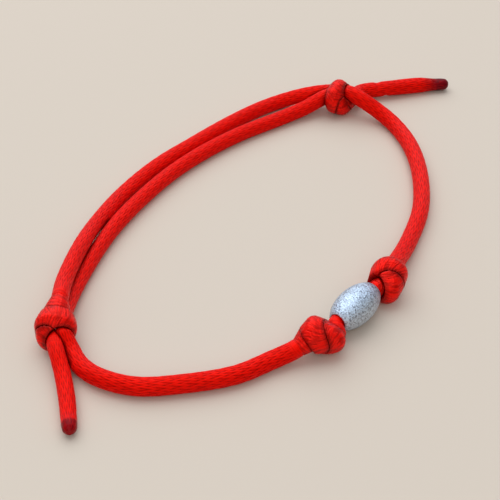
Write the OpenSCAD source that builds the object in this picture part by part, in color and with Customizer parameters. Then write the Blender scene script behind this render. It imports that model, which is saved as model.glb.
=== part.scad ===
// Kabbalah bracelet in mm, lying on the floor at z 0: one satin cord through an oval bead,
// a stopper knot on each side of the bead and two sliding knots that let the loop be drawn in.

/* [Cord] */
// Thickness of the satin cord in mm
cord_d = 2.5; // [2.2:0.05:2.5]
// Thickness of the cord where it runs doubled, stretched by the sliding knots, in mm
doubled_d = 2.35; // [2.2:0.05:2.5]
// Thickness of the left tail, which has thinned towards its end, in mm
tail_left_d = 2.15; // [2.1:0.05:2.5]
// Thickness of the cord where it is squeezed through the bead, in mm
bore_cord_d = 2.1; // [1.9:0.05:2.15]
// Thickness of a melted cord end in mm
tip_d = 1.9; // [1.7:0.1:2.2]
// Length of cord that is melted hard at each end, in mm
melt_len = 2.8; // [1.8:0.1:3.2]

/* [Knots] */
// Width that a strand swells to in a knot where its neighbours leave room, in mm
swell_d = 3.8; // [2.6:0.2:3.8]
// Thickness of cord outside the middle line of a knot's outer strands, in mm
knot_skin = 1.2; // [1.0:0.05:1.25]
// Gap between strands that press on each other in a knot, in mm
knot_gap = 0.16; // [0.14:0.02:0.24]

/* [Bead] */
// Length of the bead in mm
bead_len = 7.9; // [7:0.1:8]
// Thickness of the bead at its middle in mm
bead_d = 5.1; // [4.5:0.1:5.1]
// Hole through the bead in mm
bore_d = 2.35; // [2.3:0.05:2.6]
// Width of the flat rim round each end of the hole, in mm
rim_w = 0.15; // [0.1:0.05:0.3]

/* [Hidden] */

cord_red = [0.85, 0.08, 0.06];
knot_red = [0.75, 0.06, 0.05];
melt_red = [0.30, 0.03, 0.05];
bead_grey = [0.72, 0.73, 0.76];

// The middle line of the cord. Columns: x, y, z in mm.
TAIL_LEFT = [[-46.8, 0.8, 1.1], [-43.6, 3.7, 1.15], [-40.4, 7, 1.5], [-38.5, 9.3, 2.2]];
OUTER_RUN = [[-31.6, 14.2, 3.8], [-28, 16.3, 3.4], [-21, 19.1, 2.9], [-14.2, 21.2, 1.9], [-6.5, 22.5, 1.2],
    [1.8, 22.2, 1.2], [9.8, 20.6, 1.2], [17.4, 18.8, 1.2], [23.6, 16.8, 1.2], [27.7, 14.7, 1.3],
    [30.3, 11.6, 2.2]];
RIGHT_RUN = [[32.6, 4.4, 3.6], [32.5, 2.4, 3.2], [32.7, -0.8, 1.9], [31.6, -4.2, 1.25], [28, -8.8, 1.25],
    [22.4, -13.3, 1.25], [14.4, -17.4, 1.25], [6.5, -19.3, 1.4], [1.1, -20.1, 2.2]];
BORE_RIGHT = [[-6.4, -20.3, 2.6], [-8.6, -19.97, 2.6]];
BORE_LEFT = [[-12.8, -19.33, 2.6], [-15, -19, 2.6]];
FRONT_RUN = [[-20.9, -16.7, 2], [-24.3, -14.5, 1.3], [-28.7, -12, 1.25], [-33.5, -7.2, 1.25],
    [-37.2, -2.1, 1.25], [-38.4, 3, 1.25], [-37.9, 6.2, 1.25], [-36.7, 8.6, 1.6], [-36.1, 9.8, 2.2]];
INNER_RUN = [[-32, 13.4, 1.9], [-27.4, 15.5, 1.3], [-20.1, 17.7, 1.2], [-13.6, 19, 1.2], [-6.1, 19.5, 1.2],
    [1.9, 19.2, 1.2], [9.5, 17.8, 1.2], [16.6, 15.5, 1.2], [22.9, 12.6, 1.2], [27, 10.4, 1.6]];
TAIL_RIGHT = [[33.6, 4.6, 2], [36.6, 4.6, 1.6], [40.2, 1.2, 1.5], [44.3, -2.8, 1.25], [46.8, -5.9, 1.1]];

// Knots drawn once, each size in widths of a pulled-down strand.
// Columns: along the knot, across it, above its middle.
HALF_STOPPER = [[-0.5, 0, 0.45], [0.1, -0.4, 0.5], [0.65, -0.9, 0.15], [0.95, -0.95, -0.55],
    [0.9, -0.45, -1.2], [0.65, 0.3, -1.35], [0.35, 0.85, -0.8]];
MIDDLE_OF_STOPPER = [[0, 1, 0]];
OUT_OF_STOPPER = [[1.2, 0.2, -0.3]];
TIE = [[-1.2, -0.2, 0.45], [-0.6, -0.2, 0.7], [0, -0.3, 1.1], [0.5, -0.7, 1.45], [0.95, -1.4, 1.2],
    [1.05, -1.75, 0.5], [0.9, -1.5, -0.3], [0.65, -0.85, -0.9], [0.4, -0.1, -1.05], [0.1, 0.6, -0.85],
    [-0.05, 0.95, -0.25], [-0.2, 0.9, 0.55], [-0.35, 0.6, 1.35], [-0.45, -0.1, 1.8], [-0.35, -0.8, 1.7],
    [-0.1, -1.25, 1.15], [0.2, -1.1, 0.6], [0.75, -0.8, 0.35], [1.5, -0.7, 0.35]];
THROUGH_LEFT = [[-0.8, -0.1, -0.3], [0.2, -0.1, -0.2], [1, 0.1, -0.35]];
THROUGH_RIGHT = [[-2, -0.3, -0.4], [-0.8, -0.1, -0.3], [0.2, -0.1, -0.2], [1, 0.1, -0.35]];

// Where each knot lies. Columns: middle in mm, heading, roll, side (1 or -1 mirrored), strand width in mm,
// how far the knot is drawn out along its length.
SLIDE_LEFT = [[-35.1, 11.6, 2.75], 222, 60, 1, 1.1, 1];
SLIDE_RIGHT = [[32.1, 6.6, 3.1], -74, 90, 1, 1.2, 0.85];
STOP_LEFT = [[-17.7, -18.6, 2.65], -45, 335, 1, 1.1, 1.4];
STOP_RIGHT = [[-3.9, -20.9, 2.75], 3, 185, -1, 1.36, 1];
bead_at = [-10.7, -19.65, 2.6];
bead_turn = -8.6;
// Middle of the whole bracelet as the tables give it, taken off so that it lies over the origin.
middle = [0.01, 0.04, 0];

// Ring spacing in mm: knot_step in the tightest bends, near_step where rows are closer than near_rows,
// run_step at the most, and one ring for each turn_step degrees.
sides = 8;
knot_step = 0.5;
near_step = 0.75;
near_rows = 5.1;
run_step = 3.5;
turn_step = 10;
bead_steps = 16;
bead_fn = 64;

function flip(rows) = [for (i = [len(rows) - 1:-1:0]) rows[i]];
function unit(v) = v / norm(v);
function spot(p) = [p[0], p[1], p[2]];
function thick(rows, d) = [for (p = rows) [p[0], p[1], p[2], d]];

// Lays a knot's rows in the part: turned about its length by roll, then to its heading.
function lay(rows, at) = let (m = at[0], h = at[1], r = at[2], side = at[3], w = at[4])
    [for (p = rows) let (u = at[5] * p[0], a = side * (p[1] * cos(r) - p[2] * sin(r)))
        [m[0] + w * (u * cos(h) - a * sin(h)), m[1] + w * (u * sin(h) + a * cos(h)),
         m[2] + w * (p[1] * sin(r) + p[2] * cos(r)), cord_d]];

stopper = concat(HALF_STOPPER, MIDDLE_OF_STOPPER, [for (p = flip(HALF_STOPPER)) [-p[0], p[1], -p[2]]],
    OUT_OF_STOPPER);

// A tail's end row by row: the round of the melted end, its middle and the line where the melt stops.
function melted(last, before) = let (u = unit(last - before), r = tip_d / 2)
    [for (e = [[0.9, 0.5], [0.55, 0.85], [0, 1], [1 - melt_len / r, 1.08]])
        let (p = last + u * r * e[0]) [p[0], p[1], p[2], tip_d * e[1]]];
left_end = melted(TAIL_LEFT[0], TAIL_LEFT[1]);
right_end = flip(melted(TAIL_RIGHT[4], TAIL_RIGHT[3]));

// The whole cord from its left end to its right end, one list of rows to a piece.
PIECES = [[for (i = [0:2]) left_end[i]],
    concat([left_end[3]], thick([for (i = [1:3]) TAIL_LEFT[i]], tail_left_d)),
    flip(lay(TIE, SLIDE_LEFT)),
    concat(thick(OUTER_RUN, doubled_d), lay(THROUGH_RIGHT, SLIDE_RIGHT), thick(RIGHT_RUN, cord_d)),
    flip(lay(stopper, STOP_RIGHT)), thick(concat(BORE_RIGHT, BORE_LEFT), bore_cord_d),
    flip(lay(stopper, STOP_LEFT)),
    concat(thick(FRONT_RUN, cord_d), flip(lay(THROUGH_LEFT, SLIDE_LEFT)), thick(INNER_RUN, doubled_d)),
    lay(TIE, SLIDE_RIGHT), thick([for (i = [0:3]) TAIL_RIGHT[i]], cord_d), right_end];
rows = [for (piece = PIECES) for (p = piece) p - [middle[0], middle[1], 0, 0]];

// Smooth curve through the rows, with close rings in the bends and far ones along the straights.
function chord(i) = spot(row(i + 1)) - spot(row(i));
function turn(i) = let (a = unit(chord(i - 1)), b = unit(chord(i + 1))) acos(max(-1, min(1, a * b)));
function parts(i) = let (l = norm(chord(i)))
    max(1, round(l / run_step), min(round(turn(i) / turn_step), round(l / knot_step)),
        l < near_rows ? round(l / near_step) : 1);
function row(i) = i < 0 ? 2 * rows[0] - rows[1]
    : i >= len(rows) ? 2 * rows[len(rows) - 1] - rows[len(rows) - 2] : rows[i];
function pull(i) = sqrt(norm(chord(i)));
function curve_at(i, f) = let (a = row(i - 1), b = row(i), c = row(i + 1), d = row(i + 2),
        ab = pull(i - 1), bc = pull(i), cd = pull(i + 1),
        m1 = c - b + bc * ((b - a) / ab - (c - a) / (ab + bc)),
        m2 = c - b + bc * ((d - c) / cd - (d - b) / (bc + cd)), f2 = f * f, f3 = f2 * f)
    (2 * f3 - 3 * f2 + 1) * b + (f3 - 2 * f2 + f) * m1 + (3 * f2 - 2 * f3) * c + (f3 - f2) * m2;
last_row = len(rows) - 1;
line = concat([for (i = [0:last_row - 1]) for (k = [0:parts(i) - 1]) curve_at(i, k / parts(i))],
    [rows[last_row]]);
row_start = [for (i = 0, s = 0; i <= last_row; s = s + (i < last_row ? parts(i) : 0), i = i + 1) s];
mid = [for (p = line) spot(p)];
rings = len(mid);

// Direction of the cord, its distance from the left end, and a side vector that never twists.
heading = [for (i = [0:rings - 1]) unit((i > 0 ? unit(mid[i] - mid[i - 1]) : [0, 0, 0])
    + (i < rings - 1 ? unit(mid[i + 1] - mid[i]) : [0, 0, 0]))];
along = [for (i = 0, s = 0; i < rings; s = s + (i < rings - 1 ? norm(mid[i + 1] - mid[i]) : 0), i = i + 1) s];
function square_to(v, t) = unit(v - (v * t) * t);
side_dir = [for (i = 0, v = square_to([0, 0, 1], heading[0]); i < rings;
    i = i + 1, v = i < rings ? square_to(v, heading[i]) : v) v];

// First and last ring of each knot. In a knot the cord swells sideways, easing in over swell_in mm.
KNOTS = [2, 4, 6, 8];
swell_in = 2;
function rows_before(n) = n == 0 ? 0 : rows_before(n - 1) + len(PIECES[n - 1]);
knot_spans = [for (n = KNOTS) [row_start[rows_before(n)], row_start[rows_before(n + 1)]]];
function spans_of(i) = [for (s = knot_spans) if (i >= s[0] && i <= s[1]) s];
function ease(i, s) = min(1, (along[i] - along[s[0]]) / swell_in, (along[s[1]] - along[i]) / swell_in);
half = [for (i = [0:rings - 1]) let (r = line[i][3] / 2)
    max(concat([r], [for (s = spans_of(i)) r + (swell_d / 2 - r) * ease(i, s)]))];

// Strands that press on each other go flat halfway between them: each neighbour limits the reach.
full_gap_at = 2.5;
function press(i) = [for (j = [0:rings - 1]) let (v = mid[j] - mid[i], l = norm(v))
    if (j != i && l < half[i] + half[j] + knot_gap)
        let (g = knot_gap * pow(min(1, abs(along[j] - along[i]) / full_gap_at), 2))
        [v, (l - g) * l / 2]];

// A knot is pulled round: nothing in it stands further out than knot_skin, from any of out_count ways.
out_count = 48;
out_ways = [for (k = [0.5:out_count]) let (tip = acos(1 - 2 * k / out_count), spin = 180 * (1 + sqrt(5)) * k)
    [cos(spin) * sin(tip), sin(spin) * sin(tip), cos(tip)]];
outlines = [for (s = knot_spans)
    [s, [for (o = out_ways) [o, knot_skin + max([for (j = [s[0]:s[1]]) mid[j] * o])]]]];
function outline_at(i) = [for (k = outlines) if (i >= k[0][0] && i <= k[0][1]) each k[1]];

// The stopper knots are flat where they meet the bead's ends.
bead_axis = [cos(bead_turn), sin(bead_turn), 0];
bead_gap = 0.15;
STOPPERS = [4, 6];
function bead_room(i) = abs((mid[i] - bead_at + middle) * bead_axis) - bead_len / 2 - bead_gap;
function is_stopper(i) = len([for (n = STOPPERS) if (i >= row_start[rows_before(n)]
    && i <= row_start[rows_before(n + 1)]) n]) > 0;
function to_bead(i) = (mid[i] - bead_at + middle) * bead_axis > 0 ? -bead_axis : bead_axis;

// How far a ring's point may stand out: a limit counts where the way leans enough towards it.
lean_to_strand = 0.01;
lean_out = 0.05;
function reach(i, way, near, outside, bead_way) = min(concat([half[i]],
    [for (n = near) let (c = n[0] * way) if (c > lean_to_strand) n[1] / c],
    [for (o = outside) let (c = o[0] * way) if (c > lean_out) (o[1] - mid[i] * o[0]) / c],
    way * bead_way > lean_out ? [bead_room(i) / (way * bead_way)] : [],
    way[2] < 0 ? [mid[i][2] / -way[2]] : []));
ring_points = [for (i = [0:rings - 1]) let (near = press(i), outside = outline_at(i),
        bead_way = is_stopper(i) ? to_bead(i) : [0, 0, 0], a = side_dir[i], b = cross(heading[i], a))
    [for (k = [0:sides - 1]) let (w = a * cos((k + 0.5) * 360 / sides) + b * sin((k + 0.5) * 360 / sides))
        mid[i] + w * reach(i, w, near, outside, bead_way)]];

// The tube between two rings, closed at both ends.
module tube(from, to) {
    n = to - from;
    walls = [for (i = [0:n - 1]) for (k = [0:sides - 1])
        let (m = (k + 1) % sides, a = i * sides, b = a + sides)
            each [[a + k, b + k, b + m], [a + k, b + m, a + m]]];
    polyhedron([for (i = [from:to]) each ring_points[i]],
        concat([[for (k = [0:sides - 1]) k]], walls, [[for (k = [sides - 1:-1:0]) n * sides + k]]));
}

// The cord from the first row of a piece to the first row of the next one.
module cord_piece(n, colour) {
    last = n == len(PIECES) - 1;
    color(colour) tube(row_start[rows_before(n)], last ? rings - 1 : row_start[rows_before(n + 1)]);
}

// Oval bead with its hole lying along the cord.
module bead() {
    rim = bore_d / 2 + rim_w;
    half = bead_len / 2;
    span = half / sqrt(1 - pow(rim / (bead_d / 2), 2));
    outline = [for (i = [0:bead_steps]) let (x = -half + i * bead_len / bead_steps)
        [bead_d / 2 * sqrt(1 - pow(x / span, 2)), x]];
    color(bead_grey) translate(bead_at - middle) rotate([0, 0, bead_turn]) rotate([0, 90, 0])
        rotate_extrude($fn = bead_fn) polygon(concat([[bore_d / 2, -half]], outline, [[bore_d / 2, half]]));
}

cord_piece(0, melt_red);  // tip_left
cord_piece(1, cord_red);  // tail_left
cord_piece(2, knot_red);  // sliding_knot_left
cord_piece(3, cord_red);  // side_run
cord_piece(4, knot_red);  // stopper_knot_right
cord_piece(5, cord_red);  // bead_cord
cord_piece(6, knot_red);  // stopper_knot_left
cord_piece(7, cord_red);  // front_run
cord_piece(8, knot_red);  // sliding_knot_right
cord_piece(9, cord_red);  // tail_right
cord_piece(10, melt_red);  // tip_right
bead();
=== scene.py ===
# Kabbalah bracelet: the satin cord's knitted sheath, knots and melted ends, and the sandblasted bead.
import math

import bpy
import numpy as np
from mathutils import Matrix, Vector


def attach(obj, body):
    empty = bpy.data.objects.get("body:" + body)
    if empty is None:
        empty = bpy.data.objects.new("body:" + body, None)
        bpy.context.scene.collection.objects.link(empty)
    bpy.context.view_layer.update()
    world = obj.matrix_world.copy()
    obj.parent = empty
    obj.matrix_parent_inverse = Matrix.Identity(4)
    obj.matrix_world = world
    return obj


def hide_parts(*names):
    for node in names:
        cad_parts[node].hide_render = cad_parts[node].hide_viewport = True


MM = 0.001
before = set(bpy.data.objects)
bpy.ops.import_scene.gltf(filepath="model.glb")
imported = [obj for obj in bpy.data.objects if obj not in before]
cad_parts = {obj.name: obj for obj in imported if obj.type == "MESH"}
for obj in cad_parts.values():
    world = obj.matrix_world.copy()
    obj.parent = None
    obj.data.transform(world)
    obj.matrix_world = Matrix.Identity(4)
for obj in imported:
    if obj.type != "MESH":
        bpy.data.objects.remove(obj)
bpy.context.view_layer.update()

# The cord and the bead in mm, as in the CAD model.
CORD_D = 2.5
DOUBLED_D = 2.35
BORE_CORD_D = 2.1
TAIL_LEFT_D = 2.15
TIP_D = 1.9
MELT_LEN = 2.8
BEAD_LEN = 7.9
BEAD_D = 5.1
BORE_D = 2.35
RIM_W = 0.15
# The middle line of the cord: x, y, z in mm.
TAIL_LEFT = [(-46.8, 0.8, 1.1), (-43.6, 3.7, 1.15), (-40.4, 7, 1.5), (-38.5, 9.3, 2.2)]
OUTER_RUN = [(-31.6, 14.2, 3.8), (-28, 16.3, 3.4), (-21, 19.1, 2.9), (-14.2, 21.2, 1.9), (-6.5, 22.5, 1.2),
             (1.8, 22.2, 1.2), (9.8, 20.6, 1.2), (17.4, 18.8, 1.2), (23.6, 16.8, 1.2), (27.7, 14.7, 1.3),
             (30.3, 11.6, 2.2)]
RIGHT_RUN = [(32.6, 4.4, 3.6), (32.5, 2.4, 3.2), (32.7, -0.8, 1.9), (31.6, -4.2, 1.25), (28, -8.8, 1.25),
             (22.4, -13.3, 1.25), (14.4, -17.4, 1.25), (6.5, -19.3, 1.4), (1.1, -20.1, 2.2)]
BORE_RIGHT = [(-6.4, -20.3, 2.6), (-8.6, -19.97, 2.6)]
BORE_LEFT = [(-12.8, -19.33, 2.6), (-15, -19, 2.6)]
FRONT_RUN = [(-20.9, -16.7, 2), (-24.3, -14.5, 1.3), (-28.7, -12, 1.25), (-33.5, -7.2, 1.25),
             (-37.2, -2.1, 1.25), (-38.4, 3, 1.25), (-37.9, 6.2, 1.25), (-36.7, 8.6, 1.6),
             (-36.1, 9.8, 2.2)]
INNER_RUN = [(-32, 13.4, 1.9), (-27.4, 15.5, 1.3), (-20.1, 17.7, 1.2), (-13.6, 19, 1.2), (-6.1, 19.5, 1.2),
             (1.9, 19.2, 1.2), (9.5, 17.8, 1.2), (16.6, 15.5, 1.2), (22.9, 12.6, 1.2), (27, 10.4, 1.6)]
TAIL_RIGHT = [(33.6, 4.6, 2), (36.6, 4.6, 1.6), (40.2, 1.2, 1.5), (44.3, -2.8, 1.25), (46.8, -5.9, 1.1)]
# Knots drawn once, each row in widths of a pulled-down strand: along the knot, across it, above its middle.
HALF_STOPPER = [(-0.5, 0, 0.45), (0.1, -0.4, 0.5), (0.65, -0.9, 0.15), (0.95, -0.95, -0.55),
                (0.9, -0.45, -1.2), (0.65, 0.3, -1.35), (0.35, 0.85, -0.8)]
MIDDLE_OF_STOPPER = [(0, 1, 0)]
OUT_OF_STOPPER = [(1.2, 0.2, -0.3)]
TIE = [(-1.2, -0.2, 0.45), (-0.6, -0.2, 0.7), (0, -0.3, 1.1), (0.5, -0.7, 1.45), (0.95, -1.4, 1.2),
       (1.05, -1.75, 0.5), (0.9, -1.5, -0.3), (0.65, -0.85, -0.9), (0.4, -0.1, -1.05), (0.1, 0.6, -0.85),
       (-0.05, 0.95, -0.25), (-0.2, 0.9, 0.55), (-0.35, 0.6, 1.35), (-0.45, -0.1, 1.8), (-0.35, -0.8, 1.7),
       (-0.1, -1.25, 1.15), (0.2, -1.1, 0.6), (0.75, -0.8, 0.35), (1.5, -0.7, 0.35)]
THROUGH_LEFT = [(-0.8, -0.1, -0.3), (0.2, -0.1, -0.2), (1, 0.1, -0.35)]
THROUGH_RIGHT = [(-2, -0.3, -0.4), (-0.8, -0.1, -0.3), (0.2, -0.1, -0.2), (1, 0.1, -0.35)]
# Each knot's middle, heading, roll, side (1 or -1 mirrored), strand width and how far it is drawn out
# along its length.
SLIDE_LEFT = ((-35.1, 11.6, 2.75), 222, 60, 1, 1.1, 1.0)
SLIDE_RIGHT = ((32.1, 6.6, 3.1), -74, 90, 1, 1.2, 0.85)
STOP_LEFT = ((-17.7, -18.6, 2.65), -45, 335, 1, 1.1, 1.4)
STOP_RIGHT = ((-3.9, -20.9, 2.75), 3, 185, -1, 1.36, 1.0)
# The bead's middle, and its turn in degrees.
BEAD_AT = (-10.7, -19.65, 2.6)
BEAD_TURN = -8.6
# Middle of the whole bracelet as the tables give it, taken off so that it lies over the origin.
MIDDLE = np.array([0.01, 0.04, 0.0])

# How finely the cord is drawn: sides round it, ring spacing in mm, and how many rings apart the strands are
# looked at when they press on each other.
SIDES = 168
RUN_STEP = 0.24
KNOT_STEP = 0.12
PRESS_EVERY = 1

# Knots, in mm: the width that a strand swells to, the cord outside the outer middle lines, the gap
# between strands, the gap to the bead, and the length over which the cord eases into a knot.
SWELL_D = 3.8
KNOT_SKIN = 1.2
VISUAL_GAP = 0.03
BEAD_GAP = 0.08
EASE_LEN = 2.0
# Ways from which a knot's outline is looked at.
LOOK_WAYS = 300
# A reach in mm that nothing limits, the least reach, and how much a side leans towards a limit that counts.
FAR = 9.0
LEAST_REACH = 0.2
LEAN_TO_STRAND = 0.01
LEAN_OUT = 0.05
# Strands nearer than touching by this many mm press on each other; a ring nearer than the second is itself.
NEAR_ROOM = 0.1
SAME_SPOT = 0.05
# How much further out than its rows the skin lies in mm, and the power that rounds flats into the sides.
PUFF = 0.02
BLEND = 14.0
# The painted shade of a crease starts at this share of a strand's reach, ends a span further out, and fades
# with a power.
CREASE_AT = 0.88
CREASE_SPAN = 0.8
CREASE_POWER = 1.6
# How knotted the cord is where the gloss turns along it.
GLOSS_TURNS = 0.98
# The hairs' wave along the cord: mm, waves round the cord, turn.
HAIR_WAVE = (0.5, 1, 1)

# Stitches: lanes round the cord, length in mm on a run and in a knot, lean, half width and rise of a stitch,
# shift of the pattern from lane to lane, depth in mm and how much of it a knot takes away.
LEGS = 28
STITCH_LEN = 2.0
KNOT_STITCH_LEN = 3.6
LEG_LEAN = 1.1
LEG_HALF = 0.6
LEG_RISE = 0.12
LANE_SHIFT = 1.7
SKIN = 0.12
KNOT_FLATTER = 0.75
# Lanes that the pattern turns in a mm, and how lanes and stitches wander: seed, mm between draws, amount.
LANE_TWIST = 0.02
LANE_WANDER = (3, 7, 0.35)
STITCH_WANDER = (5, 1.6, 0.06)

# How far each end is burnt dark, how softly that fades into the sheath, both in mm, and how dark it is.
BURNT_LEFT = (1.7, 0.4, 0.75)
BURNT_RIGHT = (4.7, 2.8, 0.94)
# Where the sheath turns hard: how sharply, and how late in the melt.
HARD_SHARP = 4
HARD_LATE = 0.8
# A melted end's rows: radii out from its middle, and share of its thickness there and where the melt stops.
TIP_ROWS = ((0.9, 0.5), (0.55, 0.85), (0, 1))
MELT_START = 1.08
# Its skin: how blunt it is in mm, how much thicker than its rows, and the least of its squared roundness.
TIP_BLUNT = 0.1
TIP_SWELL = 1.12
DOME_LEAST = 0.02
# Its soft lumps: share of the reach, lumps round the cord, turn. The second set also waves along the cord.
LUMPS = (0.05, 2, 0.7)
WAVY_LUMPS = (0.03, 3, 2)
WAVES_ALONG = 3
# The right tail's pinch: mm along the tail, half width in mm, and depth as a share of the reach.
PINCH_ALONG = 6.8
PINCH_HALF = 0.45
PINCH_DEPTH = 0.13
# The pinch's slant: mm along the cord, waves round the cord, turn.
PINCH_SLANT = (0.9, 1, 0.6)

# The bead's steps round it, along its oval and along its hole, and how far both stop short of an end in mm.
BEAD_SPINS = 128
OVAL_STEPS = 60
HOLE_STEPS = 12
OVAL_SHORT = 0.06
HOLE_SHORT = 0.4
# Its rounded rim in mm, each row with how far back from the end: in from the rim's edge, out from the hole.
RIM_IN = ((0.02, 0.02), (0.07, 0))
RIM_OUT = ((0.04, 0.01), (0, 0.07))

# The cord's colours: painted shade between the stitches, the red on top of them, burnt, and the painted
# shade that a crease multiplies them by.
PAINTED_SHADE_RED = (0.5, 0.001, 0.0005, 1)
BRIGHT_RED = (0.93, 0.0045, 0.0018, 1)
BURNT_RED = (0.11, 0.001, 0.005, 1)
CREASE_SHADE = (0.4, 0.15, 0.15, 1)
PLAIN = (1, 1, 1, 1)
# How high up the stitches a knot takes its colour from, above most of their painted shade, and how much the
# threads vary the colour, darker in their grooves as painted shade.
KNOT_RISE = 0.9
THREAD_VARIES = 0.8
# Noise scales: threads across a stitch (first) and along the cord (last), hairs along the cord (first) and
# round it, and uneven burns. Then how strongly threads and hairs bend the surface.
THREAD_SCALE = (1.6, 1.0, 0.35)
HAIR_SCALE = (6.5, 0.45, 0.45)
BURN_SCALE = 0.9
HAIR_BUMP = 0.6
# Roughness of the sheath on a run, in a knot and burnt, and how far its gloss is drawn out.
RUN_ROUGH = 0.42
KNOT_ROUGH = 0.26
BURNT_ROUGH = 0.16
DRAWN_OUT = 0.8
# The bead's dark and bright grains, their scale, the pits' scale and depth in m, and the roughness.
DARK_GRAIN = (0.2, 0.21, 0.25, 1)
BRIGHT_GRAIN = (0.61, 0.69, 0.79, 1)
GRAIN_SCALE = 7000.0
PIT_SCALE = 6200.0
PIT_DEPTH = 0.00011
BEAD_ROUGH = 0.47
# The floor's half width in m, its colour and roughness, and the sky: its low and high colour, the way to its
# bright side, and its strength.
FLOOR_HALF = 3
PALE_FLOOR = (0.65, 0.53, 0.42, 1)
FLOOR_ROUGH = 0.8
LOW_SKY = (0.36, 0.32, 0.28, 1)
HIGH_SKY = (0.7, 0.84, 1.0, 1)
BRIGHT_SIDE = (0.42, 0.30, 0.86)
SKY_STRENGTH = 0.9


def unit(v):
    """Vectors of length 1."""
    return v / np.linalg.norm(v, axis=-1, keepdims=True)


def thick(rows, d):
    """Rows with a thickness added."""
    return [(*p, d) for p in rows]


def lay(rows, at):
    """A knot's rows placed in the part: turned about its length by roll, then to its heading."""
    middle, heading, roll, mirror, width, drawn = at
    h = math.radians(heading)
    r = math.radians(roll)
    out = []
    for u, y, z in rows:
        u = u * drawn
        a = mirror * (y * math.cos(r) - z * math.sin(r))
        out.append((middle[0] + width * (u * math.cos(h) - a * math.sin(h)),
                    middle[1] + width * (u * math.sin(h) + a * math.cos(h)),
                    middle[2] + width * (y * math.sin(r) + z * math.cos(r)), CORD_D))
    return out


def melted(last, before):
    """A tail's end: the round of the melted end, its middle and the line where the melt stops."""
    last = np.array(last)
    u = unit(last - np.array(before))
    r = TIP_D / 2
    return [(*(last + u * r * far), TIP_D * wide)
            for far, wide in (*TIP_ROWS, (1 - MELT_LEN / r, MELT_START))]


STOPPER = HALF_STOPPER + MIDDLE_OF_STOPPER + [(-u, y, -z) for u, y, z in HALF_STOPPER[::-1]] + OUT_OF_STOPPER
left_end = melted(TAIL_LEFT[0], TAIL_LEFT[1])
right_end = melted(TAIL_RIGHT[4], TAIL_RIGHT[3])[::-1]

# The whole cord from its left end to its right end: piece name and rows.
PIECES = [
    ("tip_left", left_end[:3]),
    ("tail_left", left_end[3:] + thick(TAIL_LEFT[1:], TAIL_LEFT_D)),
    ("sliding_knot_left", lay(TIE, SLIDE_LEFT)[::-1]),
    ("side_run", thick(OUTER_RUN, DOUBLED_D) + lay(THROUGH_RIGHT, SLIDE_RIGHT) + thick(RIGHT_RUN, CORD_D)),
    ("stopper_knot_right", lay(STOPPER, STOP_RIGHT)[::-1]),
    ("bead_cord", thick(BORE_RIGHT + BORE_LEFT, BORE_CORD_D)),
    ("stopper_knot_left", lay(STOPPER, STOP_LEFT)[::-1]),
    ("front_run", thick(FRONT_RUN, CORD_D) + lay(THROUGH_LEFT, SLIDE_LEFT)[::-1]
     + thick(INNER_RUN, DOUBLED_D)),
    ("sliding_knot_right", lay(TIE, SLIDE_RIGHT)),
    ("tail_right", thick(TAIL_RIGHT[:4], CORD_D)),
    ("tip_right", right_end),
]


def smooth_line(rows, steps):
    """Curve through the rows as in the CAD model, a step for each stretch, and each row's place in it."""
    p = np.array(rows, float)
    p = np.vstack([2 * p[0] - p[1], p, 2 * p[-1] - p[-2]])
    points = []
    starts = []
    for i in range(len(rows) - 1):
        # A centripetal Catmull-Rom stretch from b to c.
        a, b, c, d = p[i:i + 4]
        ab, bc, cd = (math.sqrt(np.linalg.norm(v[:3])) for v in (b - a, c - b, d - c))
        m1 = c - b + bc * ((b - a) / ab - (c - a) / (ab + bc))
        m2 = c - b + bc * ((d - c) / cd - (d - b) / (bc + cd))
        starts.append(len(points))
        count = max(1, round(bc * bc / steps[i]))
        for f in np.arange(count) / count:
            f2, f3 = f * f, f * f * f
            points.append((2 * f3 - 3 * f2 + 1) * b + (f3 - 2 * f2 + f) * m1
                          + (3 * f2 - 2 * f3) * c + (f3 - f2) * m2)
    starts.append(len(points))
    points.append(p[-2])
    return np.array(points), starts


names = [name for name, rows in PIECES]
knot_names = [name for name in names if "knot" in name]
all_rows = [row for name, rows in PIECES for row in rows]
all_steps = [KNOT_STEP if "knot" in name or "tip" in name else RUN_STEP
             for name, rows in PIECES for row in rows]
line, row_start = smooth_line(all_rows, all_steps)
piece_row = np.cumsum([0] + [len(rows) for name, rows in PIECES])
first_ring = [row_start[r] for r in piece_row[:-1]] + [len(line) - 1]
mid = line[:, :3] - MIDDLE
half = line[:, 3] / 2
rings = len(mid)
chord = unit(np.diff(mid, axis=0))
tangent = unit(np.vstack([chord[:1], chord[1:] + chord[:-1], chord[-1:]]))
along = np.concatenate([[0], np.cumsum(np.linalg.norm(np.diff(mid, axis=0), axis=1))])

# A side vector that never twists, and the directions round each ring.
side = np.zeros((rings, 3))
v = np.array([0.0, 0.0, 1.0])
for i in range(rings):
    v = unit(v - v.dot(tangent[i]) * tangent[i])
    side[i] = v
over = np.cross(tangent, side)
angle = np.arange(SIDES) * 2 * math.pi / SIDES
ways = side[:, None] * np.cos(angle)[None, :, None] + over[:, None] * np.sin(angle)[None, :, None]


def span_of(name):
    """First and last ring of a piece."""
    n = names.index(name)
    return first_ring[n], first_ring[n + 1]


def waves(size, count, turn):
    """A soft wave round the cord, one value for each side."""
    return size * np.sin(angle * count + turn)[None]


def limit(room, lean, least):
    """Reach at which a side that leans towards a limit has used up its room."""
    return np.where(lean > least, room / np.maximum(lean, least), FAR)


def pressed():
    """How far each side can swell before it meets halfway with the strand next to it."""
    out = np.full((rings, SIDES), FAR)
    others = np.arange(0, rings, PRESS_EVERY)
    for i in range(rings):
        to = mid[others] - mid[i]
        apart = np.linalg.norm(to, axis=1)
        near = (apart < half[i] + half[others] + NEAR_ROOM) & (apart > SAME_SPOT)
        to = to[near]
        apart = apart[near]
        gap = VISUAL_GAP * np.minimum(1, np.abs(along[others][near] - along[i]) / CORD_D) ** 2
        room = (apart - gap) * apart / 2
        out[i] = limit(room[None], ways[i] @ to.T, LEAN_TO_STRAND).min(axis=1)
    return out


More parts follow.
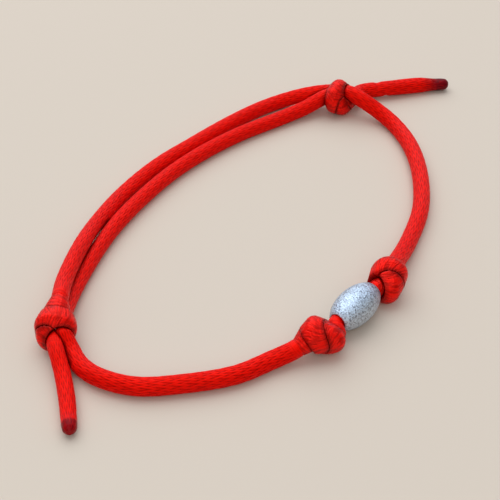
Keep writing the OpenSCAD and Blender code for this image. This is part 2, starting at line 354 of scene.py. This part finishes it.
def wrapped():
    """How far each side can swell in a knot before it stands out of the knot's own round outline."""
    out = np.full((rings, SIDES), FAR)
    # The ways to look from are spread evenly over a sphere, on a spiral.
    k = np.arange(LOOK_WAYS) + 0.5
    tip = np.arccos(1 - 2 * k / LOOK_WAYS)
    spin = math.pi * (1 + 5 ** 0.5) * k
    looks = np.stack([np.cos(spin) * np.sin(tip), np.sin(spin) * np.sin(tip), np.cos(tip)], axis=-1)
    for name in knot_names:
        a, b = span_of(name)
        stand = mid[a:b + 1] @ looks.T
        room = stand.max(axis=0) + KNOT_SKIN - stand
        lean = np.einsum("isx,ex->ise", ways[a:b + 1], looks)
        out[a:b + 1] = limit(room[:, None], lean, LEAN_OUT).min(axis=2)
    return out


def flat_on_bead():
    """How far each side of a stopper knot can swell before it meets the bead's end."""
    out = np.full((rings, SIDES), FAR)
    turn = math.radians(BEAD_TURN)
    axis = np.array([math.cos(turn), math.sin(turn), 0.0])
    t = (mid - np.array(BEAD_AT) + MIDDLE) @ axis
    lean = -np.sign(t)[:, None] * (ways @ axis)
    room = np.abs(t) - BEAD_LEN / 2 - BEAD_GAP
    for name in ("stopper_knot_right", "stopper_knot_left"):
        a, b = span_of(name)
        out[a:b + 1] = limit(room[a:b + 1, None], lean[a:b + 1], LEAN_OUT)
    return out


def wander(seed, size, amount):
    """Even random numbers along the whole cord, one every size mm, joined smoothly."""
    rng = np.random.default_rng(seed)
    draws = rng.uniform(-1, 1, int(along[-1] / size) + 3)
    x = along / size
    i = x.astype(int)
    f = x - i
    f = f * f * (3 - 2 * f)
    return (draws[i] * (1 - f) + draws[i + 1] * f) * amount


def stitches(turn, run):
    """Height of the leaning stitches from 0 to 1, and where each spot lies across its own stitch."""
    best = np.full_like(turn, -FAR)
    across = np.zeros_like(turn)
    lane0 = np.floor(turn)
    for dl in (-1, 0, 1):
        lane = lane0 + dl
        lean = np.where(lane % 2 == 0, -LEG_LEAN, LEG_LEAN)
        shifted = run - np.where((lane // 2) % 2 == 0, 0.0, 0.5)
        u = turn - lane - 0.5
        for dk in (-1, 0, 1):
            dv = shifted - np.floor(shifted) - 0.5 - dk
            du = u - lean * dv
            here = 1 - (du / LEG_HALF) ** 2 - dv ** 2 + LEG_RISE * dv
            across = np.where(here > best, du + LANE_SHIFT * lane, across)
            best = np.maximum(best, here)
    return np.clip(best, 0, 1), across


# Where the cord is knotted or drawn through the bead, 1 there and 0 on a run, eased in.
knotted = np.zeros(rings)
for name in knot_names + ["bead_cord"]:
    start, end = (along[ring] for ring in span_of(name))
    knotted = np.maximum(knotted, np.clip(1 - np.maximum(start - along, along - end) / EASE_LEN, 0, 1))

# In a knot the cord is squeezed and swells sideways, up to SWELL_D, eased in.
for name in knot_names:
    a, b = span_of(name)
    ease = np.clip(np.minimum(along[a:b + 1] - along[a], along[b] - along[a:b + 1]) / EASE_LEN, 0, 1)
    half[a:b + 1] = np.maximum(half[a:b + 1], half[a:b + 1] * (1 - ease) + SWELL_D / 2 * ease)

# Distance from the nearest end of the cord, how burnt it is there and where its sheath is melted hard.
end_far = np.minimum(along, along[-1] - along)
burnt_len, burnt_fade, burnt_dark = np.where(along < along[-1] / 2, np.array([BURNT_LEFT]).T,
                                             np.array([BURNT_RIGHT]).T)
burnt = np.clip((burnt_len - end_far) / burnt_fade, 0, 1) * burnt_dark
hard = np.clip((1 - end_far / MELT_LEN) * HARD_SHARP - HARD_LATE, 0, 1)[:, None]

# Stitch phase: stitches are stretched where the cord is pulled into a knot. The last terms keep it positive.
stitch_len = STITCH_LEN + (KNOT_STITCH_LEN - STITCH_LEN) * knotted
phase = np.concatenate([[0], np.cumsum(np.diff(along) / stitch_len[1:])])
twist = along * LANE_TWIST + wander(*LANE_WANDER)
turns = (angle / (2 * math.pi) * LEGS)[None] + twist[:, None] + 4 * LEGS
runs = phase[:, None] + wander(*STITCH_WANDER)[:, None] + np.zeros((1, SIDES)) + 2
rise, across = stitches(turns, runs)

# The cord's skin: round, pressed flat where something limits it, with the stitches sunk into it.
squeeze = pressed()
press = np.maximum(np.minimum(np.minimum(squeeze, wrapped()), flat_on_bead()), LEAST_REACH)
body = half[:, None] + np.zeros((1, SIDES)) + PUFF
reach = (body ** -BLEND + press ** -BLEND) ** (-1 / BLEND)
# The crease mask: painted shade where a strand presses close to the one next to it.
crease = np.clip(1 - (squeeze / body - CREASE_AT) / CREASE_SPAN, 0, 1) ** CREASE_POWER
depth = SKIN * (1 - KNOT_FLATTER * knotted[:, None]) * (1 - hard)
reach = reach - depth * (1 - np.sqrt(rise))

# The melted ends are round, with soft lumps.
tip_far = end_far + TIP_BLUNT
tip_r = TIP_D / 2
dome = np.sqrt(np.clip(1 - np.clip(1 - tip_far / tip_r, 0, 1) ** 2, DOME_LEAST, 1))
lumps = waves(*LUMPS) + waves(*WAVY_LUMPS) * np.sin(tip_far * WAVES_ALONG)[:, None]
melt_reach = tip_r * TIP_SWELL * dome[:, None] * (1 + lumps * hard)
reach = np.where(hard > 0, np.minimum(reach, melt_reach), reach)

# The right tail is pinched once, slantwise.
pinch_at = along[span_of("tail_right")[0]] + PINCH_ALONG
slant = along[:, None] - pinch_at + waves(*PINCH_SLANT)
reach = reach * (1 - PINCH_DEPTH * np.exp(-(slant / PINCH_HALF) ** 2))

skin_points = mid[:, None] + ways * reach[:, :, None]
skin_points[:, :, 2] = np.maximum(skin_points[:, :, 2], 0.0)
# The gloss runs across the filaments: round the cord on a run, along it in a knot.
round_at = over[:, None] * np.cos(angle)[None, :, None] - side[:, None] * np.sin(angle)[None, :, None]
gloss_at = np.where(knotted[:, None, None] > GLOSS_TURNS, tangent[:, None], round_at)
circle = np.stack([np.cos(angle), np.sin(angle)], axis=-1)
filament = (along[:, None] + waves(*HAIR_WAVE))[:, :, None]
wrap_at = np.concatenate([filament, circle[None] * half[:, None, None]], axis=-1)
lay_at = np.stack([across, np.zeros((rings, SIDES)), along[:, None] + np.zeros((1, SIDES))], axis=-1)


def tube(name, first, last):
    """One piece of the cord between two rings, with closed ends."""
    n = last - first
    ring = np.arange(SIDES)
    nxt = (ring + 1) % SIDES
    a = (np.arange(n) * SIDES)[:, None]
    quads = np.stack([a + ring, a + nxt, a + SIDES + nxt, a + SIDES + ring], axis=-1).reshape(-1, 4)
    points = skin_points[first:last + 1].reshape(-1, 3)
    count = len(points)
    # The end rings come once more, each with a middle point, so that the closed ends keep a sharp edge.
    caps = np.concatenate([[first] * SIDES, [last] * SIDES, [first, last]])
    spots = np.concatenate([ring, ring, [0, 0]])
    ends = np.vstack([skin_points[first], skin_points[last], [mid[first]], [mid[last]]])
    verts = np.vstack([points, ends]) * MM
    faces = quads.tolist()
    for k in range(SIDES):
        faces.append([count + 2 * SIDES, count + nxt[k], count + k])
        faces.append([count + 2 * SIDES + 1, count + SIDES + k, count + SIDES + nxt[k]])
    mesh = bpy.data.meshes.new(name)
    mesh.from_pydata(verts.tolist(), [], faces)
    mesh.shade_smooth()

    def store(label, values):
        """Keep one of the cord's values on the piece's points."""
        wide = values.ndim == 3
        kept_rows = values[first:last + 1].reshape(len(points), -1)
        data = np.concatenate([kept_rows, values[caps, spots].reshape(len(caps), -1)]).astype(np.float32)
        kept = mesh.attributes.new(label, "FLOAT_VECTOR" if wide else "FLOAT", "POINT")
        kept.data.foreach_set("vector" if wide else "value", data.ravel())

    store("rise", rise)
    store("crease", crease)
    store("lay", lay_at)
    store("wrap", wrap_at)
    store("gloss", gloss_at)
    store("knotted", np.repeat(knotted[:, None], SIDES, axis=1))
    store("burnt", np.repeat(burnt[:, None], SIDES, axis=1))
    obj = bpy.data.objects.new(name, mesh)
    bpy.context.collection.objects.link(obj)
    return obj


def bead():
    """Oval bead with a rounded rim and its hole, laid in the part."""
    hole = BORE_D / 2
    rim = hole + RIM_W
    half_len = BEAD_LEN / 2
    span = half_len / math.sqrt(1 - (rim / (BEAD_D / 2)) ** 2)
    oval = [(BEAD_D / 2 * math.sqrt(1 - (x / span) ** 2), x)
            for x in np.linspace(-half_len + OVAL_SHORT, half_len - OVAL_SHORT, OVAL_STEPS)]
    lip = [(rim - r, half_len - back) for r, back in RIM_IN]
    lip += [(hole + r, half_len - back) for r, back in RIM_OUT]
    inner = [(hole, x) for x in np.linspace(half_len - HOLE_SHORT, -half_len + HOLE_SHORT, HOLE_STEPS)]
    outline = np.array(oval + lip + inner + [(r, -x) for r, x in lip[::-1]])
    spin = np.arange(BEAD_SPINS) * 2 * math.pi / BEAD_SPINS
    y = outline[:, :1] * np.cos(spin)
    z = outline[:, :1] * np.sin(spin)
    x = outline[:, 1:] + np.zeros((1, BEAD_SPINS))
    turn = math.radians(BEAD_TURN)
    c, s = math.cos(turn), math.sin(turn)
    placed = np.stack([x * c - y * s, x * s + y * c, z], axis=-1) + np.array(BEAD_AT) - MIDDLE
    i = (np.arange(len(outline)) * BEAD_SPINS)[:, None]
    j = np.roll(i, -1, axis=0)
    k = np.arange(BEAD_SPINS)
    q = (k + 1) % BEAD_SPINS
    faces = np.stack([i + k, j + k, j + q, i + q], axis=-1).reshape(-1, 4)
    mesh = bpy.data.meshes.new("bead_metal")
    mesh.from_pydata((placed.reshape(-1, 3) * MM).tolist(), [], faces.tolist())
    mesh.shade_smooth()
    obj = bpy.data.objects.new("oval_bead", mesh)
    bpy.context.collection.objects.link(obj)
    return obj


def blank(name):
    """A new material and its empty node tree."""
    material = bpy.data.materials.new(name)
    material.use_nodes = True
    material.node_tree.nodes.clear()
    return material, material.node_tree


def add(tree, kind, inputs):
    """A new node, each of its named sockets linked to another node's output or set to a plain value."""
    node = tree.nodes.new(kind)
    for key, value in inputs.items():
        if isinstance(value, bpy.types.NodeSocket):
            tree.links.new(value, node.inputs[key])
        else:
            node.inputs[key].default_value = value
    return node


def attribute(tree, name, output="Fac"):
    """A value that tube stored on the points."""
    node = tree.nodes.new("ShaderNodeAttribute")
    node.attribute_name = name
    return node.outputs[output]


def noise(tree, vector, scale, detail):
    """Smooth random values."""
    node = add(tree, "ShaderNodeTexNoise", {"Vector": vector, "Scale": scale, "Detail": detail})
    return node.outputs["Fac"]


def ramp(tree, value, low_at, low, high_at, high):
    """A colour that goes from low to high while the value goes from low_at to high_at."""
    node = add(tree, "ShaderNodeValToRGB", {"Fac": value})
    first, last = node.color_ramp.elements
    first.position = low_at
    first.color = low
    last.position = high_at
    last.color = high
    return node.outputs[0]


def multiplied(tree, factor, one, two):
    """A colour multiplied by another as far as the factor says."""
    node = add(tree, "ShaderNodeMixRGB", {"Fac": factor, "Color1": one, "Color2": two})
    node.blend_type = "MULTIPLY"
    return node.outputs[0]


def bumped(tree, height, strength, distance):
    """A surface direction bent by a height in metres."""
    node = add(tree, "ShaderNodeBump", {"Height": height, "Strength": strength, "Distance": distance})
    return node.outputs[0]


def satin(name, gloss_level, gloss_tint, red_shine, hair_depth, gap):
    """Red satin sheath: painted shade between the stitches and in the creases, fine threads along them, dark
    at the melted ends.
    """
    material, tree = blank(name)
    knotted_in = attribute(tree, "knotted")
    lay_in = attribute(tree, "lay", "Vector")

    # Threads follow the stitches of a run, and in a knot hairs run round the strand.
    stretch = add(tree, "ShaderNodeMapping", {"Vector": lay_in, "Scale": THREAD_SCALE})
    threads = noise(tree, stretch.outputs[0], 1.0, 3.0)
    draw = add(tree, "ShaderNodeMapping", {"Vector": attribute(tree, "wrap", "Vector"),
                                           "Scale": HAIR_SCALE})
    hairs = noise(tree, draw.outputs[0], 1.0, 2.0)
    sharper = add(tree, "ShaderNodeMapRange", {"Value": hairs, "From Min": 0.4, "From Max": 0.58,
                                               "To Min": 0.24, "To Max": 0.66})
    strands = add(tree, "ShaderNodeMix", {"Factor": knotted_in, "A": threads, "B": sharper.outputs[0]})
    strand = strands.outputs["Result"]

    # Red by the height of the stitches, with painted shade between them, varied by the threads with painted
    # shade in their grooves, and painted shade in the creases.
    lift = add(tree, "ShaderNodeMix", {"Factor": knotted_in, "A": attribute(tree, "rise"), "B": KNOT_RISE})
    red = ramp(tree, lift.outputs["Result"], 0.1, PAINTED_SHADE_RED, 0.85, BRIGHT_RED)
    tone = ramp(tree, strand, 0.3, gap, 0.55, PLAIN)
    varied = multiplied(tree, THREAD_VARIES, red, tone)
    shaded = multiplied(tree, attribute(tree, "crease"), varied, CREASE_SHADE)

    # The melted ends are unevenly burnt, and smoother.
    burns = noise(tree, lay_in, BURN_SCALE, 2.0)
    uneven = add(tree, "ShaderNodeMapRange", {"Value": burns, "From Min": 0.3, "From Max": 0.7,
                                              "To Min": 0.7, "To Max": 1.3})
    fade = add(tree, "ShaderNodeMath", {0: attribute(tree, "burnt"), 1: uneven.outputs[0]})
    fade.operation = "MULTIPLY"
    fade.use_clamp = True
    colour = add(tree, "ShaderNodeMixRGB", {"Fac": fade.outputs[0], "Color1": shaded,
                                            "Color2": BURNT_RED})
    sheath = add(tree, "ShaderNodeMapRange", {"Value": knotted_in, "To Min": RUN_ROUGH,
                                              "To Max": KNOT_ROUGH})
    rough = add(tree, "ShaderNodeMix", {"Factor": fade.outputs[0], "A": sheath.outputs[0],
                                        "B": BURNT_ROUGH})

    bsdf = add(tree, "ShaderNodeBsdfPrincipled", {
        "Base Color": colour.outputs[0], "Roughness": rough.outputs["Result"], "Metallic": red_shine,
        "Specular IOR Level": gloss_level, "Specular Tint": gloss_tint, "Anisotropic": DRAWN_OUT,
        "Tangent": attribute(tree, "gloss", "Vector"),
        "Normal": bumped(tree, strand, HAIR_BUMP, hair_depth)})
    add(tree, "ShaderNodeOutputMaterial", {"Surface": bsdf.outputs[0]})
    return material


def sandblasted():
    """Silver bead with a fine sparkling grain."""
    material, tree = blank("bead_metal")
    spot = tree.nodes.new("ShaderNodeTexCoord").outputs["Object"]
    grain = add(tree, "ShaderNodeTexVoronoi", {"Vector": spot, "Scale": GRAIN_SCALE})
    cells = add(tree, "ShaderNodeSeparateColor", {0: grain.outputs["Color"]})
    pits = noise(tree, spot, PIT_SCALE, 1.0)
    bsdf = add(tree, "ShaderNodeBsdfPrincipled", {
        "Base Color": ramp(tree, cells.outputs[1], 0.0, DARK_GRAIN, 0.5, BRIGHT_GRAIN),
        "Metallic": 1.0, "Roughness": BEAD_ROUGH, "Normal": bumped(tree, pits, 1.0, PIT_DEPTH)})
    add(tree, "ShaderNodeOutputMaterial", {"Surface": bsdf.outputs[0]})
    return material


def area_light(name, at, aim, size, power, colour):
    """A round soft light at one spot, aimed at another."""
    data = bpy.data.lights.new(name, "AREA")
    data.shape = "DISK"
    data.size = size
    data.energy = power
    data.color = colour
    obj = bpy.data.objects.new(name, data)
    obj.location = at
    obj.rotation_euler = (Vector(aim) - Vector(at)).to_track_quat("-Z", "Y").to_euler()
    bpy.context.collection.objects.link(obj)


# Camera: 85 mm lens, 41.5 degrees above the floor.
camera_data = bpy.data.cameras.new("camera")
camera_data.lens = 85.0
camera_data.sensor_width = 36.0
camera_data.clip_start = 0.01
camera = bpy.data.objects.new("camera", camera_data)
camera_at = Vector((-0.11516, -0.06821, 0.11387))
camera_aim = Vector((-0.00601, 0.0, 0.0))
camera.location = camera_at
camera.rotation_euler = (camera_aim - camera_at).to_track_quat("-Z", "Y").to_euler()
bpy.context.collection.objects.link(camera)
bpy.context.scene.camera = camera

# The materials.
# A material's gap colour is the threads' darker tone: uneven threads, and painted shade in their grooves.
satin_red = satin("satin_cord", gloss_level=0.2, gloss_tint=(1.0, 0.24, 0.1, 1), red_shine=0.12,
                  hair_depth=0.00006, gap=(0.7, 0.4, 0.4, 1))
drawn_red = satin("drawn_cord", gloss_level=0.5, gloss_tint=(1.0, 0.3, 0.2, 1), red_shine=0.35,
                  hair_depth=0.00018, gap=(0.5, 0.25, 0.25, 1))
melted_red = satin("melted_cord", gloss_level=0.2, gloss_tint=(1.0, 0.3, 0.3, 1), red_shine=0.0,
                   hair_depth=0.00003, gap=(0.7, 0.4, 0.4, 1))
silver = sandblasted()

# The cord's pieces and the bead, each on the one body.
for name in names:
    piece = tube("satin_" + name, *span_of(name))
    piece.data.materials.append(melted_red if "tip" in name else drawn_red if "knot" in name else satin_red)
    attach(piece, "root")
    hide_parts(name)
bead_piece = bead()
bead_piece.data.materials.append(silver)
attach(bead_piece, "root")
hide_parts("bead")

# Plain pale floor and soft light.
floor_mesh = bpy.data.meshes.new("floor")
corners = [(x * FLOOR_HALF, y * FLOOR_HALF, 0) for x, y in ((-1, -1), (1, -1), (1, 1), (-1, 1))]
floor_mesh.from_pydata(corners, [], [(0, 1, 2, 3)])
floor = bpy.data.objects.new("floor", floor_mesh)
bpy.context.collection.objects.link(floor)
floor_material, floor_tree = blank("floor")
floor_bsdf = add(floor_tree, "ShaderNodeBsdfPrincipled", {"Base Color": PALE_FLOOR,
                                                          "Roughness": FLOOR_ROUGH})
add(floor_tree, "ShaderNodeOutputMaterial", {"Surface": floor_bsdf.outputs[0]})
floor_mesh.materials.append(floor_material)

world = bpy.data.worlds.new("world")
bpy.context.scene.world = world
world.use_nodes = True
sky_tree = world.node_tree
way = sky_tree.nodes.new("ShaderNodeTexCoord")
toward = add(sky_tree, "ShaderNodeVectorMath", {0: way.outputs["Generated"], 1: BRIGHT_SIDE})
toward.operation = "DOT_PRODUCT"
sky = ramp(sky_tree, toward.outputs["Value"], 0.1, LOW_SKY, 0.9, HIGH_SKY)
background = sky_tree.nodes["Background"]
sky_tree.links.new(sky, background.inputs["Color"])
background.inputs["Strength"].default_value = SKY_STRENGTH
area_light("window", at=(0.26, 0.32, 0.64), aim=(0, 0, 0), size=1.1, power=5.0, colour=(0.9, 0.95, 1.0))
area_light("fill", at=(-0.5, -0.3, 0.5), aim=(0, 0, 0), size=0.6, power=1.5, colour=(0.82, 0.92, 1.0))
bpy.context.scene.view_settings.view_transform = "Standard"

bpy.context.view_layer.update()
lengths = {name: round(float(along[b] - along[a]), 1)
           for name, a, b in zip(names, first_ring, first_ring[1:])}
print("cord length mm", round(float(along[-1]), 1), lengths)
